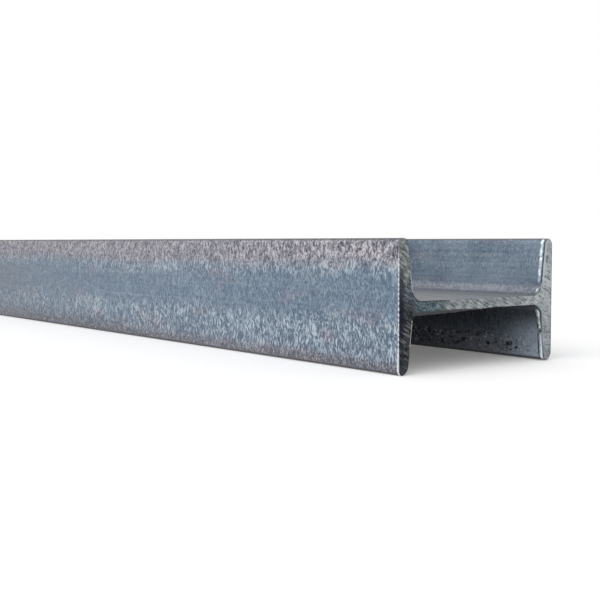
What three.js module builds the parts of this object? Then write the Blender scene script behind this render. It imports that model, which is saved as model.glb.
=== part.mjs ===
// Hot-rolled steel I-beam with tapered flanges: one straight stock length.
//
// Millimetres, +Z up. The beam lies on the toes of its flanges with the web level. Its length
// runs along X, its depth across Y, and the origin is at mid-length on the plane it rests on.

import * as THREE from 'three';

// The rolled section, in the terms of a section table: the 126 x 74 size.
const SECTION_DEPTH = 126;      // over the outer faces of the two flanges
const FLANGE_WIDTH = 74;        // from toe to toe
const WEB_THICKNESS = 5.5;
const FLANGE_THICKNESS = 8.4;   // mean value, half-way between the web and the toe
const FLANGE_TAPER = 1 / 9;     // slope of a flange's inner face
const ROOT_RADIUS = 7;          // fillet between web and flange
const TOE_RADIUS = 3.9;         // rounding of a toe towards the inside
const EDGE_RADIUS = 2.8;        // smaller rounding of a toe towards the outside

const STOCK_LENGTH = 6000;      // the shortest length that mills sell this section in
const ARC_DIVISIONS = 6;        // each rounding of the outline gets twice this many flats

const STEEL_COLOUR = 0x7b8188;  // blue-grey mill scale

// One quarter of the section's outline, counter-clockwise: round a toe, down the flange's
// tapered inner face and through the root fillet to the web. In the outline's plane x runs
// across the section's depth and y across the flange's width, both from the centre.
function quarterOutline() {
  const halfDepth = SECTION_DEPTH / 2;
  const halfWidth = FLANGE_WIDTH / 2;
  const halfWeb = WEB_THICKNESS / 2;

  // The tapered inner face: x where the face stands at height y.
  const middleOfFlange = (halfWidth + halfWeb) / 2;
  const innerFace = (y) => halfDepth - FLANGE_THICKNESS + (y - middleOfFlange) * FLANGE_TAPER;

  // A circle that touches the tapered face has its centre this many radii away along x.
  const taperAngle = Math.atan(FLANGE_TAPER);
  const stretch = 1 / Math.cos(taperAngle);

  const edgeX = halfDepth - EDGE_RADIUS;
  const edgeY = halfWidth - EDGE_RADIUS;
  const toeY = halfWidth - TOE_RADIUS;
  const toeX = innerFace(toeY) + TOE_RADIUS * stretch;
  const rootY = halfWeb + ROOT_RADIUS;
  const rootX = innerFace(rootY) - ROOT_RADIUS * stretch;

  const path = new THREE.Path();
  path.absarc(edgeX, edgeY, EDGE_RADIUS, 0, Math.PI / 2, false);
  path.absarc(toeX, toeY, TOE_RADIUS, Math.PI / 2, Math.PI - taperAngle, false);
  path.absarc(rootX, rootY, ROOT_RADIUS, -taperAngle, -Math.PI / 2, true);
  return path.getPoints(ARC_DIVISIONS);
}

// The whole outline: the quarter and its three mirror images, each second one walked
// backwards so that the outline keeps turning the same way.
function sectionShape() {
  const quarter = quarterOutline();
  const mirrored = (signX, signY) => quarter.map((p) => new THREE.Vector2(signX * p.x, signY * p.y));
  return new THREE.Shape([
    ...mirrored(1, 1),
    ...mirrored(-1, 1).reverse(),
    ...mirrored(-1, -1),
    ...mirrored(1, -1).reverse(),
  ]);
}

// The section drawn out to the stock length. The outline's x becomes Y, its y becomes Z
// and the extrusion runs along X.
function beamGeometry() {
  const geometry = new THREE.ExtrudeGeometry(sectionShape(), {
    depth: STOCK_LENGTH,
    bevelEnabled: false,
  });
  geometry.translate(0, 0, -STOCK_LENGTH / 2);
  geometry.rotateX(Math.PI / 2);
  geometry.rotateZ(Math.PI / 2);
  return geometry;
}

const steel = new THREE.MeshStandardMaterial({
  name: 'hot_rolled_steel',
  color: STEEL_COLOUR,
  metalness: 0.9,
  roughness: 0.45,
});

const beam = new THREE.Mesh(beamGeometry(), steel);
beam.name = 'i_beam';
beam.position.z = FLANGE_WIDTH / 2;

const stock = new THREE.Group();
stock.add(beam);

export default stock;
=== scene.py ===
"""A hot-rolled steel I-beam with tapered flanges: a six-metre stock length, lying on its toes."""

import math

import bmesh
import bpy
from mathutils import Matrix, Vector, noise


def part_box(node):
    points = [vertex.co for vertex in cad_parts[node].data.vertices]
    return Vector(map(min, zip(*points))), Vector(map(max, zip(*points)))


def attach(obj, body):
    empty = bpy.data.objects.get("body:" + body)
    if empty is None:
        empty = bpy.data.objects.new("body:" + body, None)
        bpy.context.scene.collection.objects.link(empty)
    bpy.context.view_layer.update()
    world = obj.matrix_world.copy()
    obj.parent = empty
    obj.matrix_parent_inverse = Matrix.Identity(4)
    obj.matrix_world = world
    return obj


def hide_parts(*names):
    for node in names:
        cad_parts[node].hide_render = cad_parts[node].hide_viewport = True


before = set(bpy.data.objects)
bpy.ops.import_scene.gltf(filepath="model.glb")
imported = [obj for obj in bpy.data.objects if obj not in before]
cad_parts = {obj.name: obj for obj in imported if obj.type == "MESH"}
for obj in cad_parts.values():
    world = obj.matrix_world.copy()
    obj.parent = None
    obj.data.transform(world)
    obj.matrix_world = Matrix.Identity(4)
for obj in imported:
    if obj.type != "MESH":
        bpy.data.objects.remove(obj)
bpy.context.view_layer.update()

# ---------------------------------------------------------------- camera
# It stands low beside the beam's right-hand end, just below the upper toes, and looks back
# along the beam, so that the cut end is seen to the right and the bar runs off to the left.

lowest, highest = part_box("i_beam")
END = highest[0]  # the right-hand cut end, as far from the middle as the left-hand one
WIDTH = highest[1] - lowest[1]  # from flange face to flange face
HEIGHT = highest[2]  # from toe to toe

EYE_BEYOND_END = 5.38 * HEIGHT
EYE_BESIDE_FLANGE = 5.01 * HEIGHT
EYE_HEIGHT = 0.968 * HEIGHT
AIM = (END - 0.17, 0.0, 0.42 * HEIGHT)
LENS = 61.0

camera = bpy.data.objects.new("camera", bpy.data.cameras.new("camera"))
camera.location = (END + EYE_BEYOND_END, -WIDTH / 2 - EYE_BESIDE_FLANGE, EYE_HEIGHT)
camera.rotation_euler = (Vector(AIM) - camera.location).to_track_quat("-Z", "Y").to_euler()
camera.data.lens = LENS
bpy.context.scene.collection.objects.link(camera)
bpy.context.scene.camera = camera

# ---------------------------------------------------------------- rolled bar
# One bar of structural steel, rolled hot between grooved rolls, which leave the tapered flanges,
# the root fillets and the rounded toes, and sawn square to length. The blade wears the toes
# round on the side where it comes in, and drags a burr out of the edges on the other side.

MM = 0.001
WEB = 5.5 * MM
FLANGE = 8.4 * MM  # mean thickness, half-way along the flange's overhang
TAPER = 1 / 9
ROOT_RADIUS = 7 * MM
TOE_RADIUS = 3.9 * MM
EDGE_RADIUS = 2.8 * MM
OUTLINE_STEP = 0.75 * MM
ROOT_FLATS, TOE_FLATS, EDGE_FLATS = 10, 8, 6


def inner_face(height):
    """How far from the web's middle a flange's inner face is, at a height above the web's centre."""
    middle = (HEIGHT / 2 + WEB / 2) / 2
    return WIDTH / 2 - FLANGE + (height - middle) * TAPER


def round_corner(bm, corner, radius, opening, flats):
    """Rounds one corner of a flat outline to a radius. opening is the angle between its edges."""
    bmesh.ops.bevel(
        bm,
        geom=[corner],
        offset=radius / math.tan(opening / 2),
        offset_type="OFFSET",
        affect="VERTICES",
        segments=flats,
        profile=0.5,
        material=-1,
    )


def section_face(bm, x):
    """The beam's section as one flat face across the bar: a quarter of it, mirrored twice."""
    centre = HEIGHT / 2
    square = math.pi / 2
    lean = math.atan(TAPER)
    corners = [
        (0, 0),
        (WIDTH / 2, 0),
        (WIDTH / 2, centre),
        (inner_face(centre), centre),
        (inner_face(WEB / 2), WEB / 2),
        (0, WEB / 2),
    ]
    verts = [bm.verts.new((x, y, z)) for y, z in corners]
    bm.faces.new(verts)
    outer_edge, toe, root = verts[2:5]
    round_corner(bm, outer_edge, EDGE_RADIUS, square, EDGE_FLATS)
    round_corner(bm, toe, TOE_RADIUS, square + lean, TOE_FLATS)
    round_corner(bm, root, ROOT_RADIUS, square + lean, ROOT_FLATS)
    for axis in "YZ":
        bmesh.ops.mirror(bm, geom=bm.verts[:] + bm.edges[:] + bm.faces[:], axis=axis, merge_dist=1e-6)
    inside = [edge for edge in bm.edges if len(edge.link_faces) == 2]
    bmesh.ops.dissolve_edges(bm, edges=inside, use_verts=True)
    for edge in bm.edges[:]:
        cuts = int(edge.calc_length() / OUTLINE_STEP)
        if cuts:
            bmesh.ops.bisect_edges(bm, edges=[edge], cuts=cuts)
    bmesh.ops.translate(bm, verts=bm.verts, vec=(0, 0, centre))
    return next(iter(bm.faces))


# The burr is a fine beaded lip on the front flange's outer face, a wider lip rolled back over
# the back flange's inner face, and a torn flap under the web beside the front flange.

RINGS = [d * MM for d in (0.0, 0.3, 0.6, 1.0, 1.5, 2.1, 2.8, 3.5, 4.3)]  # of points, from each end
RIM = 0.45 * MM  # how far the burr stands past the cut face
WALL = 0.8 * MM  # how far in from the bar's edges the cut face begins
FACING = 0.05  # how far a surface has to lean towards the front to get a lip

FRONT_LIP = 0.9 * MM  # the most that each part of the burr stands out
BACK_LIP = 0.7 * MM
FLAP = 2.3 * MM
BEAD = 2.7 * MM  # from one bead of the front lip to the next
GAPS = ((18, 2), (33.5, 3), (37.2, 5), (45.3, 2.2))  # in the back lip: height and half height, in mm
NOTCH = 18 * MM  # the height of a dark notch in one of them
BLOB = 29 * MM  # the height of the back lip's widest spot, made brighter as a painted highlight
WORN_LOWER_TOE = 5.5 * MM  # radii
WORN_UPPER_TOE = 4.2 * MM


def ramp(value, start, end):
    """0 at start and 1 at end, smooth between them."""
    share = min(1.0, max(0.0, (value - start) / (end - start)))
    return share * share * (3 - 2 * share)


def hump(place, middle, half):
    """A rounded bump, 1 at its middle and 0 at half its width on either side."""
    return max(0.0, 1 - ((place - middle) / half) ** 2)


def front_lip(spot, from_end):
    """How far the front flange's lip stands out at a spot of the bar, and how bright it is there.

    Bright goes from -1, which is dark, to 1: bare steel brightened as a painted highlight above 0,
    painted shade below it. from_end is how far behind the cut the spot is.
    """
    bead = 0.5 + 0.5 * math.sin(spot.z * 2 * math.pi / BEAD + 2 * noise.noise(spot / (9 * MM)))
    low = ramp(spot.z, 16 * MM, 9 * MM)
    size = 0.08 + 0.37 * ramp(spot.z, 70 * MM, 62 * MM) + 0.55 * low
    size *= 0.5 + 0.5 * bead
    shine = min(1.0, size * (1.5 - 0.2 * low))
    out = FRONT_LIP * size * hump(from_end, 0.3 * MM, 1.3 * MM)
    return out, shine * hump(from_end, 0.0, (1.7 + 0.5 * low) * MM)


def back_lip(spot, from_end):
    """The same for the back flange's lip, which has gaps, a painted highlight at its widest spot and a
    painted shadow line beside it.
    """
    blob = hump(spot.z, BLOB, 3.5 * MM)
    size = 0.8 + 0.5 * noise.noise(spot / (5 * MM)) + 0.5 * noise.noise(spot / (1.5 * MM))
    size = min(1.0, max(0.62, size + 0.8 * blob))
    for gap, half in GAPS:
        size *= 1 - hump(spot.z, gap * MM, half * MM)
    upper = ramp(spot.z, 20 * MM, 27 * MM)
    wander = 0.5 * noise.noise(Vector((7, 3, spot.z / (2.5 * MM))))
    lip = hump(from_end, (1.9 + 0.5 * upper + wander) * MM, (1.2 + 0.5 * blob) * MM)
    shade = (0.6 + 0.4 * upper) * hump(from_end, 0.2 * MM, 0.7 * MM)
    shade += (1 - upper) * hump(from_end, 3.5 * MM, 0.8 * MM)
    notch = 0.5 * hump(spot.z, NOTCH, 1.8 * MM) * hump(from_end, 1.6 * MM, 2.0 * MM)
    return BACK_LIP * size * lip, max(-1.0, size * (lip - shade) - notch)


def web_flap(spot, from_end):
    """The same for the torn flap under the web, which is painted dark as shade."""
    wide = ramp(spot.y, -10 * MM, -30 * MM)
    narrow = ramp(spot.y, 14 * MM, -6 * MM)
    size = ramp(spot.y, -53 * MM, -48.5 * MM) * (0.55 * wide + 0.45 * narrow)
    size *= 0.9 + 0.25 * noise.noise(spot / (4 * MM))
    shade = min(1.0, 1.5 * size) * ramp(from_end, RINGS[-1], 1.2 * MM)
    return FLAP * size * ramp(from_end, 1.2 * MM, 0.0), -shade


def burr(spot, outward, from_end):
    """The same for any spot. outward is the way that the surface faces there."""
    tip = ramp(from_end, 0.5 * MM, 0.0)
    fade = ramp(from_end, RINGS[-1], RINGS[-2])
    faces_front = outward.y < -FACING
    under_web = outward.z < -0.3 and spot.z > 28 * MM
    on_web = outward.z > 0.3 and spot.z < 48 * MM
    inside_front_flange = outward.y > 0.5 and spot.y < 0
    if faces_front and spot.y < 0:
        out, shine = front_lip(spot, from_end)
        share = -outward.y
    elif faces_front:
        out, shine = back_lip(spot, from_end)
        share = ramp(-outward.y, 0.3, 0.9)
    elif under_web:
        out, shine = web_flap(spot, from_end)
        share = 1.0
    elif on_web:
        # a painted shadow line along the web's top edge, by the front flange
        out, shine = 0.0, -0.8 * tip
        share = ramp(spot.y, -22 * MM, -32 * MM)
    elif inside_front_flange:
        # a painted highlight along the front flange's inner edge
        out, shine = 0.0, 0.5 * tip
        share = ramp(spot.z, 10 * MM, 16 * MM) * ramp(spot.z, 66 * MM, 50 * MM)
    else:
        out, shine, share = 0.0, 0.0, 0.0
    return out * share * fade, shine * share * fade


def rows_behind(tips, side):
    """Each point of a cut end's edge with the points behind it, one from each ring."""
    rows = [[tip] for tip in tips]
    for row in rows:
        while len(row) < len(RINGS):
            beside = (edge.other_vert(row[-1]) for edge in row[-1].link_edges)
            row.append(min(beside, key=lambda vert: vert.co.x * side))
    return rows


def wear_toes(rows):
    """Rounds the toes' corners where the blade comes in, which are those that face the back."""
    for row in rows:
        for vert, from_end in zip(row, RINGS):
            lower = vert.co.z < HEIGHT / 2
            radius = WORN_LOWER_TOE if lower else WORN_UPPER_TOE
            face = WIDTH / 2 if vert.co.y > 0 else -inner_face(HEIGHT / 2 - radius)
            centre = Vector((vert.co.x, face - radius, radius if lower else HEIGHT - radius))
            spoke = vert.co - centre
            in_corner = spoke.y > 0 and spoke.z * (-1 if lower else 1) > 0
            if in_corner and spoke.length > radius:
                vert.co -= spoke * (1 - radius / spoke.length) * ramp(from_end, RINGS[-1], 0)


def raise_burr(bm, cap, shine_layer):
    """Draws the burr out of the edges of one cut end, and leaves the cut face behind it."""
    side = math.copysign(1, cap.calc_center_median().x)
    wear_toes(rows_behind(cap.verts, side))
    bmesh.ops.inset_region(bm, faces=[cap], thickness=WALL, use_even_offset=True)
    inner = set(cap.verts)
    tips = {edge.other_vert(vert) for vert in inner for edge in vert.link_edges} - inner
    for row in rows_behind(tips, side):
        outward = row[-1].normal.copy()
        spot = row[0].co.copy()
        for vert, from_end in zip(row, RINGS):
            out, shine = burr(spot, outward, from_end)
            vert.co += outward * out
            vert[shine_layer] = shine
        # an edge with no burr ends level with the cut face
        row[0].co.x -= side * RIM * (1 - abs(row[0][shine_layer]))
    bmesh.ops.translate(bm, verts=cap.verts, vec=(-side * RIM, 0, 0))


# The flat map, on which the bar's finishes can be baked. Each half of the bar makes two rows of
# it, an outer and an inner stretch, and its cut end lies enlarged beyond the outer one.

OUTER = 0.45 * END  # how long the outer stretch is
MAP_GAP = 10 * MM  # between neighbours
DRAWN_OUT = 25 * MM  # how much longer the rings by a cut end are on the map
LENGTHWAYS = 1.2  # how much finer the map is along the bar than round it
SKIN, CUT = 0, 1  # the bar's two materials


def measure_round(face, round_layer):
    """Marks how far round the outline each point is, from under the web's middle. Gives the girth."""
    lower_wins = 0.01  # of the two points nearest to the middle
    under_web = min(face.loops, key=lambda loop: abs(loop.vert.co.y) + lower_wins * loop.vert.co.z)
    loop = under_web
    run = 0.0
    while True:
        loop.vert[round_layer] = run
        run += loop.edge.calc_length()
        loop = loop.link_loop_next
        if loop == under_web:
            return run


def lay_flat(bm, round_layer, girth):
    """Unrolls the bar onto its square map."""
    row = girth + MAP_GAP
    map_size = 4 * row
    zoom = girth / WIDTH
    uv_layer = bm.loops.layers.uv.new("OFBake")
    for face in bm.faces:
        middle = face.calc_center_median()
        inner = END - abs(middle.x) > OUTER
        base = row * (2 * (middle.x > 0) + inner) + MAP_GAP / 2
        rounds = [loop.vert[round_layer] for loop in face.loops]
        closing = max(rounds) - min(rounds) > girth / 2  # the face where the round meets its start
        for loop, distance in zip(face.loops, rounds):
            spot = loop.vert.co
            if face.material_index == CUT:
                along = LENGTHWAYS * OUTER + DRAWN_OUT + 2 * MAP_GAP + zoom * spot.z
                across = zoom * (spot.y + WIDTH / 2)
            else:
                from_end = END - abs(spot.x)
                along = LENGTHWAYS * (from_end - OUTER * inner)
                along += DRAWN_OUT * min(1, from_end / RINGS[-1]) * (not inner)
                across = distance + girth * (closing and distance < girth / 2)
            loop[uv_layer].uv = ((along + MAP_GAP / 2) / map_size, (base + across) / map_size)


def put_in_order(bm):
    """Sorts the faces by their points, because extruding makes them in a chance order."""
    bm.verts.index_update()
    in_order = sorted(bm.faces, key=lambda face: sorted(vert.index for vert in face.verts))
    for place, face in enumerate(in_order):
        face.index = place
    bm.faces.sort()


def rolled_bar():
    """The bar's mesh: the section drawn out from end to end, with its burrs and its flat map."""
    bm = bmesh.new()
    round_layer = bm.verts.layers.float.new("round")
    half = [END - d for d in RINGS] + [END - OUTER]
    places = [-place for place in half] + [0] + half[::-1]
    face = section_face(bm, places[0])
    girth = measure_round(face, round_layer)
    for last, place in zip(places, places[1:]):
        made = bmesh.ops.extrude_face_region(bm, geom=[face, *face.edges])["geom"]
        face = next(part for part in made if isinstance(part, bmesh.types.BMFace))
        bmesh.ops.translate(bm, verts=face.verts, vec=(place - last, 0, 0))
    bmesh.ops.recalc_face_normals(bm, faces=bm.faces)
    shine_layer = bm.verts.layers.float.new("burr")
    bm.normal_update()
    for cap in [face for face in bm.faces if abs(face.normal.x) > 0.5]:
        cap.material_index = CUT
        raise_burr(bm, cap, shine_layer)
    lay_flat(bm, round_layer, girth)
    bm.verts.layers.float.remove(round_layer)
    for face in bm.faces:
        face.smooth = face.material_index == SKIN
    for edge in bm.edges:
        edge.smooth = all(face.smooth for face in edge.link_faces)
    put_in_order(bm)
    mesh = bpy.data.meshes.new("i_beam_bar")
    bm.to_mesh(mesh)
    bm.free()
    return mesh


# The finishes. Each is a base colour with layers over it, one for each thing that rolling, sawing
# and handling have left on the steel, and some of painted shade and light. Sizes of patterns are
# in millimetres.

FIRST_COLOUR, SECOND_COLOUR, MIXED_COLOUR = 6, 7, 2  # the sockets of a Mix node that hold colours


class Field:
    """A number, colour or vector that varies over a surface, with its arithmetic."""

    def __init__(self, nodes, socket):
        self.nodes = nodes
        self.socket = socket

    def beside(self, name):
        """Another output of the node that this one comes from."""
        return Field(self.nodes, self.socket.node.outputs[name])

    def math(self, operation, *others):
        """A Math node's result from this field and the others."""
        values = dict(enumerate((self, *others)))
        return self.nodes.add("ShaderNodeMath", {"operation": operation}, values)

    def __add__(self, other):
        return self.math("ADD", other)

    def __mul__(self, other):
        return self.math("MULTIPLY", other)

    __radd__ = __add__
    __rmul__ = __mul__

    def __neg__(self):
        return self * -1

    def __sub__(self, other):
        return self + -other

    def __rsub__(self, other):
        return -self + other

    def __truediv__(self, other):
        return self.math("DIVIDE", other)

    def __abs__(self):
        return self.math("ABSOLUTE")

    def __or__(self, other):
        return self.math("MAXIMUM", other)


class Nodes:
    """The nodes of a material or of the world."""

    def __init__(self, tree):
        self.tree = tree

    def add(self, kind, settings, sockets, output=0):
        """Adds a node of any kind, with its settings and its sockets. Gives one of its outputs."""
        made = self.tree.nodes.new(kind)
        for name, value in settings.items():
            setattr(made, name, value)
        self.feed(made, sockets)
        return Field(self, made.outputs[output])

    def feed(self, made, sockets):
        """Links a node's sockets to fields, or sets them to plain values."""
        for name, value in sockets.items():
            socket = made.inputs[name]
            if isinstance(value, Field):
                self.tree.links.new(value.socket, socket)
            elif socket.type == "RGBA":
                socket.default_value = (*value, 1)
            else:
                socket.default_value = value


def srgb(red, green, blue):
    """A colour as a paint chart gives it, from 0 to 255, in the shader's linear scale."""
    return tuple(((c / 255 + 0.055) / 1.055) ** 2.4 for c in (red, green, blue))


class Finish(Nodes):
    """A surface finish: a material with one Principled shader, and the patterns that feed it."""

    def __init__(self, name):
        self.material = bpy.data.materials.new(name)
        self.material.use_nodes = True
        super().__init__(self.material.node_tree)
        self.shader = self.tree.nodes["Principled BSDF"]
        self.place = self.add("ShaderNodeTexCoord", {}, {}, "Object")
        self.x = self.add("ShaderNodeSeparateXYZ", {}, {"Vector": self.place}, "X")
        self.y, self.z = self.x.beside("Y"), self.x.beside("Z")

    def spot(self, size, turn=(0, 0, 0), shift=(0, 0, 0), place=None):
        """The place in a pattern of grains of this size. turn turns it, shift picks another part."""
        settings = {"vector_type": "TEXTURE"}
        sockets = {"Vector": place or self.place, "Location": shift, "Rotation": turn}
        sockets["Scale"] = [side * MM for side in size]
        return self.add("ShaderNodeMapping", settings, sockets)

    def bent(self, size, far):
        """The place pushed about by clouds of this size, so that a pattern laid on it bends."""
        clouds = {"Vector": self.spot(size), "Scale": 1, "Detail": 1}
        push = self.add("ShaderNodeTexNoise", {}, clouds, "Color")
        sockets = {0: push, 1: (far * MM, far * MM, far * MM), 2: self.place}
        return self.add("ShaderNodeVectorMath", {"operation": "MULTIPLY_ADD"}, sockets)

    def grain(self, size, detail=3, roughness=0.5, **where):
        """Cloudy noise from 0 to 1."""
        sockets = {"Vector": self.spot(size, **where), "Scale": 1}
        sockets |= {"Detail": detail, "Roughness": roughness}
        return self.add("ShaderNodeTexNoise", {}, sockets)

    def dabs(self, size, share, dimensions="3D", **where):
        """Separate soft spots, 1 at the middle of each. share is how many of the cells have one."""
        settings = {"voronoi_dimensions": dimensions}
        sockets = {"Vector": self.spot(size, **where), "Scale": 1}
        distance = self.add("ShaderNodeTexVoronoi", settings, sockets, "Distance")
        chance = distance.beside("Color")
        limit = 0.85 - 0.7 * share
        dab = self.step(distance, 0.55, 0.2)
        return dab * self.step(chance, limit - 0.12, limit + 0.12)

    def step(self, value, low, high):
        """0 below low and 1 above high, smooth between them; the other way round if high is less."""
        if high < low:
            return 1 - self.step(value, high, low)
        settings = {"interpolation_type": "SMOOTHSTEP"}
        sockets = {"Value": value, "From Min": low, "From Max": high}
        return self.add("ShaderNodeMapRange", settings, sockets)

    def mix(self, share, first, second):
        """The first colour where share is 0 and the second where it is 1."""
        sockets = {"Factor": share, FIRST_COLOUR: first, SECOND_COLOUR: second}
        return self.add("ShaderNodeMix", {"data_type": "RGBA"}, sockets, MIXED_COLOUR)

    def layers(self, colour, *layers):
        """A colour with others laid over it, each given as how much of it there is and its tone."""
        for share, tone in layers:
            colour = self.mix(share, colour, srgb(*tone))
        return colour

    def burr(self):
        """The bright part and the dark part of the burr, each from 0 to 1: bare steel brightened as a
        painted highlight, and painted shade.
        """
        burr = self.add("ShaderNodeAttribute", {"attribute_name": "burr"}, {}, "Fac")
        grit = self.grain((0.8, 0.8, 0.8), detail=2) - 0.5
        return self.step(burr + 0.4 * grit, 0.15, 0.7), self.step(0.4 * grit - burr, 0.15, 0.5)

    def surface(self, colour, roughness, metallic, height, relief):
        """The material. relief is how deep the bump is where height goes from 0 to 1."""
        bump = self.add("ShaderNodeBump", {}, {"Strength": 1, "Distance": relief, "Height": height})
        sockets = {"Base Color": colour, "Roughness": roughness, "Metallic": metallic, "Normal": bump}
        self.feed(self.shader, sockets)
        return self.material


class MillScale(Finish):
    """The steel-blue oxide skin of hot rolling, with pale flecks, greyer and darker toes, and painted
    shade and light in its channels and on a band.
    """

    def __init__(self):
        super().__init__("mill_scale")

        # How far from the nearer cut end, and then where on the bar: 1 there and 0 elsewhere.
        self.from_end = END - abs(self.x)
        self.outside = self.step(abs(self.y), 59 * MM, 62 * MM)
        self.on_web = self.step(abs(self.y), 54 * MM, 48 * MM)
        self.at_back = self.step(self.y, 40 * MM, 50 * MM)
        self.lower_channel = (1 - self.outside) * self.step(self.z, HEIGHT / 2, HEIGHT / 2 - 2 * MM)
        self.upper_channel = (1 - self.outside) * (1 - self.lower_channel)

        # Patterns that more than one layer takes, from 0 to 1.
        self.clouds = self.grain((100, 30, 24), detail=4, roughness=0.6)
        self.patches = self.grain((50, 20, 14), detail=4, roughness=0.6, shift=(7, 3, 1))
        self.drawn = self.grain((250, 3, 3), detail=5, roughness=0.65)
        self.mottle = self.grain((2.2, 3, 2.8), roughness=0.65, shift=(1, 5, 2))
        self.grit = self.grain((1.1, 1.1, 1.6), roughness=0.65)

        # The flanges' bands: a smooth, bluer one half-way up, partly the scale's own tone and partly
        # painted shadow, and the toes. reach goes from 0 at the web's height to 1 at the tips, with a
        # ragged edge.
        wavy = self.z + 12 * MM * (self.grain((90, 50, 500), shift=(5, 5, 5)) - 0.5)
        self.band = self.step(abs(wavy - 41 * MM), 17 * MM, 7 * MM)
        self.upper_toe = self.step(wavy, 54 * MM, 64 * MM) * self.outside
        self.overhang = abs(self.z - HEIGHT / 2) / (HEIGHT / 2)
        self.reach = self.overhang + 0.1 * (self.patches - 0.5) + 0.06 * (self.mottle - 0.5)
        self.lower = self.step(self.z, 40 * MM, 34 * MM)
        self.lower_toe = self.lower * self.step(self.reach, 0.74, 0.9)
        far = self.outside * self.step(self.from_end, 0.15, 0.4)
        self.far_toe = far * self.step(self.z, 18 * MM, 8 * MM)
        self.rosy = self.step(self.patches, 0.52, 0.66)
        self.grainy = (1 - 0.4 * self.band) * (0.5 + 0.5 * self.outside)

    def tints(self):
        """Rosy patches, mauve upper toes, a bluer band along the outer faces that is partly painted
        shadow, and a browner web.
        """
        return [
            (0.6 * self.rosy, (134, 130, 140)),
            (0.8 * self.upper_toe, (142, 132, 138)),
            # the band: partly the scale's own blue and partly painted shadow
            (0.65 * self.band * self.outside, (100, 124, 147)),
            (0.75 * self.on_web, (119, 115, 113)),
        ]

    def streaks(self):
        """What the rolls have drawn out along the bar: fine lines; and painted reflections, light and
        dark, in the upper channel.
        """
        painted_sheen = self.grain((50, 50, 80), shift=(2, 6, 4))
        inside = self.upper_channel * (1 - self.on_web)
        return [
            (0.45 * self.step(self.drawn, 0.5, 0.75), (160, 166, 172)),
            (0.45 * self.step(self.drawn, 0.5, 0.28), (72, 86, 102)),
            (0.6 * self.on_web * self.step(self.drawn, 0.52, 0.6), (170, 165, 163)),
            (0.5 * self.on_web * self.step(self.drawn, 0.46, 0.38), (84, 82, 88)),
            # painted reflections, light and dark, on the upper channel's inner faces
            (0.4 * inside * self.step(painted_sheen, 0.4, 0.7), (176, 190, 206)),
            (0.45 * inside * self.step(painted_sheen, 0.5, 0.3), (74, 88, 106)),
        ]

    def mottled_roots(self):
        """A pale mottled band along the upper channel's root fillets."""
        root = self.step(abs(self.y), 43 * MM, 48 * MM) * self.step(self.z, 49 * MM, 44 * MM)
        root = root * self.upper_channel
        return [
            (0.35 * root, (118, 118, 127)),
            (0.4 * root * self.step(self.mottle, 0.5, 0.62), (164, 163, 174)),
            (0.5 * root * self.step(self.mottle, 0.49, 0.38), (86, 90, 102)),
        ]

    def far_and_toe_tones(self):
        """Duller steel away from the ends, and greyer, darker toes, mostly the lower ones."""
        away = self.step(self.from_end + 0.5 * (self.clouds - 0.5), 0.25, 0.8)
        return [
            (0.75 * away, (98, 101, 112)),
            (0.6 * self.outside * self.lower * self.step(self.overhang, 0.45, 0.9), (106, 102, 118)),
            (0.3 * self.step(self.reach, 0.76, 0.88) * self.outside, (150, 143, 146)),
            (0.8 * self.lower_toe, (112, 106, 111)),
            (0.5 * self.lower_toe * self.step(self.mottle, 0.53, 0.62), (168, 162, 166)),
            (0.6 * self.lower_toe * self.step(self.mottle, 0.47, 0.38), (68, 62, 68)),
            (0.5 * self.far_toe, (86, 88, 96)),
        ]

    def channel_painted_shade(self):
        """The lower channel painted dark as shade, deepest under the web and further from the ends,
        with purplish clouds, and painted light towards the floor and by the back flange's cut end.
        """
        channel = self.lower_channel
        pale = channel * (1 - 0.6 * self.step(self.from_end, 50 * MM, 120 * MM))
        lit_by_open_end = self.step(self.from_end, 42 * MM, 6 * MM)
        return [
            # painted shade, deeper further from the ends
            (0.8 * channel * self.step(self.from_end, 0.0, 0.13), (29, 31, 35)),
            (0.35 * channel * self.step(self.clouds, 0.45, 0.6), (72, 62, 80)),
            # painted light towards the floor
            (0.75 * pale * self.step(self.z, 20 * MM, 6 * MM), (150, 156, 166)),
            # painted light by the back flange's open cut end
            (0.85 * channel * self.at_back * lit_by_open_end, (188, 202, 218)),
            # painted shade under the web
            (0.8 * channel * self.step(self.z, 13 * MM, 30 * MM), (20, 22, 28)),
        ]

    def speckled_toe(self):
        """Pale and dark speckles on the outside of the upper toes, stronger by the ends."""
        patchy = self.upper_toe * (0.6 + 0.4 * self.step(self.from_end, 0.25, 0.06))
        return [
            (patchy * self.step(self.mottle, 0.5, 0.6), (224, 213, 219)),
            (0.95 * patchy * self.step(self.mottle, 0.48, 0.38), (54, 49, 58)),
        ]

    def flecks(self):
        """Pale flecks like short brush strokes across the bar, and the parts of it that have them."""
        bent = self.bent((12, 20, 12), 8)
        long_fleck, short_fleck = (1.3, 5, 5.8), (1.1, 4, 3.5)
        forth = self.dabs(long_fleck, 0.55, turn=(0, 0.2, 0), place=bent)
        back = self.dabs(long_fleck, 0.55, turn=(0, -0.15, 0), shift=(3, 1, 2), place=bent)
        upright = self.dabs(short_fleck, 0.6, shift=(5, 7, 1), place=bent)
        near = 0.45 + 0.55 * self.step(self.from_end, 0.75, 0.15)
        flecked = self.step(self.patches, 0.2, 0.5) * near * (0.15 + 0.85 * self.outside)
        flecked = flecked * (1 - 0.7 * self.band) * (1 - 0.5 * self.upper_toe)
        flecked = flecked * (1 - 0.75 * self.lower_toe) * (1 - 0.4 * self.far_toe)
        return 0.9 * (forth | back | upright) * flecked, flecked

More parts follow.
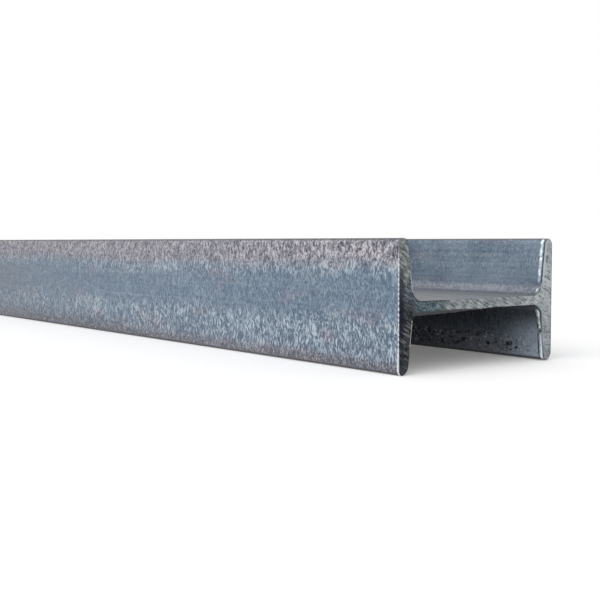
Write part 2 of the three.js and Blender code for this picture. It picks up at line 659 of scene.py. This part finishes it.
    def pits(self):
        """Dark pits with light specks beside them as painted highlights on their rims, low down in the
        lower channel.
        """
        crumpled = self.bent((2.5, 2.5, 2.5), 3)
        blots = self.dabs((4.2, 2.4, 2.4), 0.7, shift=(11, 4, 9), place=crumpled)
        blots = self.step(blots, 0.1, 0.4) * self.step(self.mottle, 0.36, 0.48)
        specks = self.dabs((3, 3, 1.8), 0.6, shift=(2, 3, 8), place=crumpled)
        wavy = self.z - 9 * MM + 8 * MM * (self.clouds - 0.5)
        inward = 0.15 + 0.85 * self.step(self.from_end, 9 * MM, 16 * MM)
        pitted = self.lower_channel * self.step(abs(wavy), 9 * MM, 3 * MM) * inward
        return [
            (0.5 * pitted * self.step(self.mottle, 0.46, 0.36), (22, 24, 28)),
            # painted highlights on the pits' rims
            (0.55 * pitted * specks, (236, 240, 246)),
            (0.95 * pitted * blots, (10, 11, 14)),
        ]

    def edges(self):
        """Painted shade along the lower channel's edges in the crease by the floor, and darker brown
        tips on all the toes.
        """
        tip = self.step(self.overhang + 0.04 * (self.mottle - 0.5), 0.955, 0.985)
        return [
            # painted shade in the crease by the floor
            (0.8 * self.lower_channel * self.step(self.z, 2.5 * MM, 1 * MM), (26, 28, 36)),
            (0.75 * tip, (76, 68, 69)),
        ]

    def finished(self):
        """The material, with its layers in the order in which they lie on the steel."""
        base = self.mix(self.step(self.clouds, 0.35, 0.65), srgb(98, 118, 138), srgb(122, 137, 151))
        flecks, flecked = self.flecks()
        colour = self.layers(
            base,
            *self.tints(),
            *self.streaks(),
            *self.mottled_roots(),
            *self.far_and_toe_tones(),
            *self.channel_painted_shade(),
            *self.speckled_toe(),
            (0.85 * self.grainy * self.step(self.grit, 0.48, 0.37), (54, 70, 90)),
            (0.45 * flecked, (86, 107, 130)),
        )
        fleck_tone = self.mix(self.rosy | self.upper_toe, srgb(203, 218, 229), srgb(212, 205, 212))
        colour = self.mix(flecks, colour, fleck_tone)
        colour = self.layers(
            colour,
            (0.65 * self.grainy * self.step(self.grit, 0.54, 0.66), (200, 208, 216)),
            *self.pits(),
            *self.edges(),
        )
        # the burr's bare steel brightened as a painted highlight, bluish on the back lip as a painted
        # reflection
        bright, dark = self.burr()
        shine = self.mix(self.at_back, srgb(240, 242, 244), srgb(226, 238, 250))
        # lighter in the lower channel, as painted light
        shine = self.mix(self.lower_channel, shine, srgb(238, 247, 255))
        colour = self.mix(bright, colour, shine)
        # painted shade beside the burr
        colour = self.layers(colour, (dark, (56, 54, 57)))

        height = 0.6 * flecks + 0.6 * self.grit * self.grainy + 0.4 * self.drawn + 0.3 * self.mottle
        roughness = 0.46 + 0.2 * (self.grit - 0.5) + 0.1 * flecks - 0.06 * self.band - 0.12 * bright
        return self.surface(colour, roughness, 0.5 + 0.4 * bright, height, 0.16 * MM)


BLADE_RADIUS = 0.5
BLADE_Y = 0.21  # where the blade's middle passes a cut end
BLADE_Z = 0.47


class CutEnd(Finish):
    """Bare steel at a cut, scored by the blade and burnt darker towards the front and the floor."""

    def __init__(self):
        super().__init__("cut_end")
        self.clouds = self.grain((10, 10, 10), roughness=0.6)
        wander = 8 * MM * (self.clouds - 0.5)

        # Where on the cut: 1 there and 0 elsewhere. high and low are parts of the front flange, and
        # the joint is where it meets the web.
        self.to_front = self.step(self.y + wander, -10 * MM, -34 * MM)
        on_flange = self.step(self.y, -46 * MM, -54 * MM)
        self.high = self.step(self.z + wander, 46 * MM, 56 * MM) * on_flange
        self.low = self.step(self.z + wander, 47 * MM, 33 * MM) * on_flange
        by_web = self.step(abs(self.z - 38 * MM), 14 * MM, 7 * MM)
        self.joint = by_web * self.step(self.y + wander, -20 * MM, -34 * MM)
        scored = (0.7 + 0.3 * on_flange) * (1 - 0.8 * self.joint) * (1 - 0.45 * self.high)
        scored = scored * (1 - 0.65 * self.step(self.y, 44 * MM, 54 * MM))
        self.scored = scored * (0.3 + 0.7 * self.step(self.z, 8 * MM, 16 * MM))

        # What the blade leaves, mostly in arcs about its middle, each from 0 to 1.
        arcs = self.blade_arcs()
        self.scores = self.dabs((1.2, 7.5, 1000), 0.55, "2D", place=arcs)
        self.gouges = self.dabs((1.4, 8, 1000), 0.55, "2D", place=arcs, shift=(5, 2, 0))
        self.threads = self.grain((0.7, 6, 1000), detail=2, place=arcs, shift=(3, 3, 0))
        self.blotches = self.grain((2.6, 5, 1000), roughness=0.6, place=arcs, shift=(8, 2, 0))
        self.tooth = self.grain((1.1, 1.1, 1.1), roughness=0.65)

    def blade_arcs(self):
        """The place as the blade meets it: how far from its middle, and how far round."""
        across = self.y - BLADE_Y
        up = self.z - BLADE_Z
        radius = (across * across + up * up).math("SQRT")
        arc = (-up).math("ARCTAN2", across) * BLADE_RADIUS
        return self.add("ShaderNodeCombineXYZ", {}, {"X": radius, "Y": arc, "Z": self.x})

    def burns(self):
        """Broad tones: paler to the back, teal at the joint, and black low on the front flange."""
        to_back = self.step(self.y, 24 * MM, 50 * MM) * self.step(self.z, 14 * MM, 42 * MM)
        to_back = to_back * (1 - 0.35 * self.step(self.z, 54 * MM, 66 * MM))
        teal = self.joint * self.step(self.y, -60 * MM, -50 * MM) * self.step(self.clouds, 0.3, 0.5)
        tints = self.grain((11, 11, 11), detail=2, shift=(2, 7, 5))
        pale = 1 - self.to_front
        return [
            (0.8 * to_back, (196, 203, 205)),
            (0.8 * self.high, (113, 120, 120)),
            (0.7 * teal, (42, 82, 93)),
            (self.low, (26, 26, 32)),
            (0.35 * pale * self.step(tints, 0.5, 0.62), (160, 160, 176)),
            (0.35 * pale * self.step(tints, 0.5, 0.38), (122, 142, 136)),
        ]

    def marks(self):
        """What the blade has left, and a few fine scratches where the web meets the back flange."""
        dull = self.low | self.joint
        scratches = self.dabs((300, 16, 1.3), 0.65, turn=(-0.6, 0, 0), shift=(0, 1, 4))
        scratches = scratches * self.step(abs(self.z - 43 * MM), 9 * MM, 5 * MM)
        scratches = scratches * self.step(self.y, 44 * MM, 50 * MM)
        return [
            (0.5 * (1 - 0.8 * dull) * self.step(self.blotches, 0.52, 0.62), (190, 194, 198)),
            (0.6 * (1 - 0.5 * dull) * self.step(self.blotches, 0.48, 0.36), (48, 54, 57)),
            (0.85 * self.scored * self.scores * (1 - 0.6 * self.low), (184, 192, 190)),
            (0.8 * self.scored * self.gouges, (34, 39, 45)),
            (0.7 * scratches, (66, 74, 76)),
            (0.25 * (1 - 0.7 * self.low) * self.step(self.threads, 0.52, 0.66), (194, 200, 200)),
            (0.3 * self.step(self.threads, 0.46, 0.34), (44, 46, 50)),
            (0.25 * (1 - 0.7 * self.low) * self.step(self.tooth, 0.52, 0.64), (200, 202, 204)),
            (0.4 * self.step(self.tooth, 0.48, 0.36), (48, 52, 56)),
        ]

    def edges(self):
        """Darker near the floor, a painted shadow line down the front edge, and a painted highlight by
        the back flange's lip.
        """
        edge = self.step(self.y, -57 * MM, -61.5 * MM) * self.step(self.z, 64 * MM, 50 * MM)
        edge = edge * (0.45 + 0.55 * self.step(self.z, 14 * MM, 26 * MM))
        inward = self.y - inner_face(self.z - HEIGHT / 2)
        painted_highlight_rim = self.step(abs(inward - 1.6 * MM), 1.2 * MM, 0.5 * MM)
        painted_highlight_rim = painted_highlight_rim * self.step(abs(self.z - 60 * MM), 14 * MM, 8 * MM)
        return [
            (0.3 * self.step(self.z, 10 * MM, 2 * MM), (84, 88, 92)),
            # painted shadow in the groove beside the front lip
            (0.85 * edge, (18, 25, 40)),
            # painted highlight by the back flange's lip
            (0.6 * painted_highlight_rim, (196, 204, 206)),
        ]

    def finished(self):
        """The material, with its layers in the order in which they lie on the steel."""
        bright, dark = self.burr()
        base = self.mix(self.to_front, srgb(147, 154, 159), srgb(68, 77, 86))
        colour = self.layers(
            base,
            *self.burns(),
            *self.marks(),
            *self.edges(),
            # the burr's bare steel brightened as a painted highlight, and painted shade beside it
            (bright, (218, 223, 227)),
            (dark, (64, 63, 66)),
        )
        height = 0.5 * self.scores - 0.5 * self.gouges + 0.3 * self.threads
        height = height + 0.3 * self.blotches + 0.3 * self.tooth
        return self.surface(colour, 0.42 + 0.2 * self.tooth, 0.6 + 0.35 * self.low, height, 0.25 * MM)


bar = bpy.data.objects.new("i_beam_bar", rolled_bar())
bpy.context.scene.collection.objects.link(bar)
bar.data.materials.append(MillScale().finished())
bar.data.materials.append(CutEnd().finished())
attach(bar, "root")
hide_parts("i_beam")

# ---------------------------------------------------------------- floor and light
# A plain pale floor that meets a white surround, one wide soft lamp from the left and above,
# and an even fill. The floor shows pale but sends back less light than it shows.

FLOOR_SIZE = 60
FLOOR_DEPTH = 0.2 * MM  # how far it lies below the toes
FLOOR_SEEN = (0.97, 0.97, 0.97)
FLOOR_SENT_BACK = (0.42, 0.42, 0.42)
FLOOR_GLOW = 0.14  # lifts what is seen of it to the surround's white
FILL = 0.62  # the even light, where 1 is the white that is seen
LAMP_STRENGTH = 1.5
LAMP_WIDTH = math.radians(70)
LAMP_DIRECTION = (-0.35, 0.75, -0.75)

floor_mesh = bpy.data.meshes.new("floor")
bm = bmesh.new()
bmesh.ops.create_grid(bm, x_segments=1, y_segments=1, size=FLOOR_SIZE)
bmesh.ops.translate(bm, verts=bm.verts, vec=(0, 0, -FLOOR_DEPTH))
bm.to_mesh(floor_mesh)
bm.free()
floor = bpy.data.objects.new("floor", floor_mesh)
bpy.context.scene.collection.objects.link(floor)


def seen(nodes):
    """1 on rays from the camera or a mirror-like surface, and 0 on rays that only carry light."""
    camera_ray = nodes.add("ShaderNodeLightPath", {}, {}, "Is Camera Ray")
    return camera_ray | camera_ray.beside("Is Glossy Ray") | camera_ray.beside("Is Transmission Ray")


ground = Finish("pale_floor")
shown = seen(ground)
ground.feed(ground.shader, {"Base Color": ground.mix(shown, FLOOR_SENT_BACK, FLOOR_SEEN)})
ground.feed(ground.shader, {"Roughness": 1, "Specular IOR Level": 0})
ground.feed(ground.shader, {"Emission Color": (1, 1, 1), "Emission Strength": FLOOR_GLOW * shown})
floor_mesh.materials.append(ground.material)

world = bpy.data.worlds.new("surround")
bpy.context.scene.world = world
world.use_nodes = True
sky = Nodes(world.node_tree)
strength = FILL + (1 - FILL) * seen(sky)
sky.feed(world.node_tree.nodes["Background"], {"Color": (1, 1, 1), "Strength": strength})

light = bpy.data.lights.new("key", "SUN")
light.energy = LAMP_STRENGTH
light.angle = LAMP_WIDTH
lamp = bpy.data.objects.new("key", light)
lamp.rotation_euler = Vector(LAMP_DIRECTION).to_track_quat("-Z", "Y").to_euler()
bpy.context.scene.collection.objects.link(lamp)

bpy.context.scene.view_settings.view_transform = "Standard"
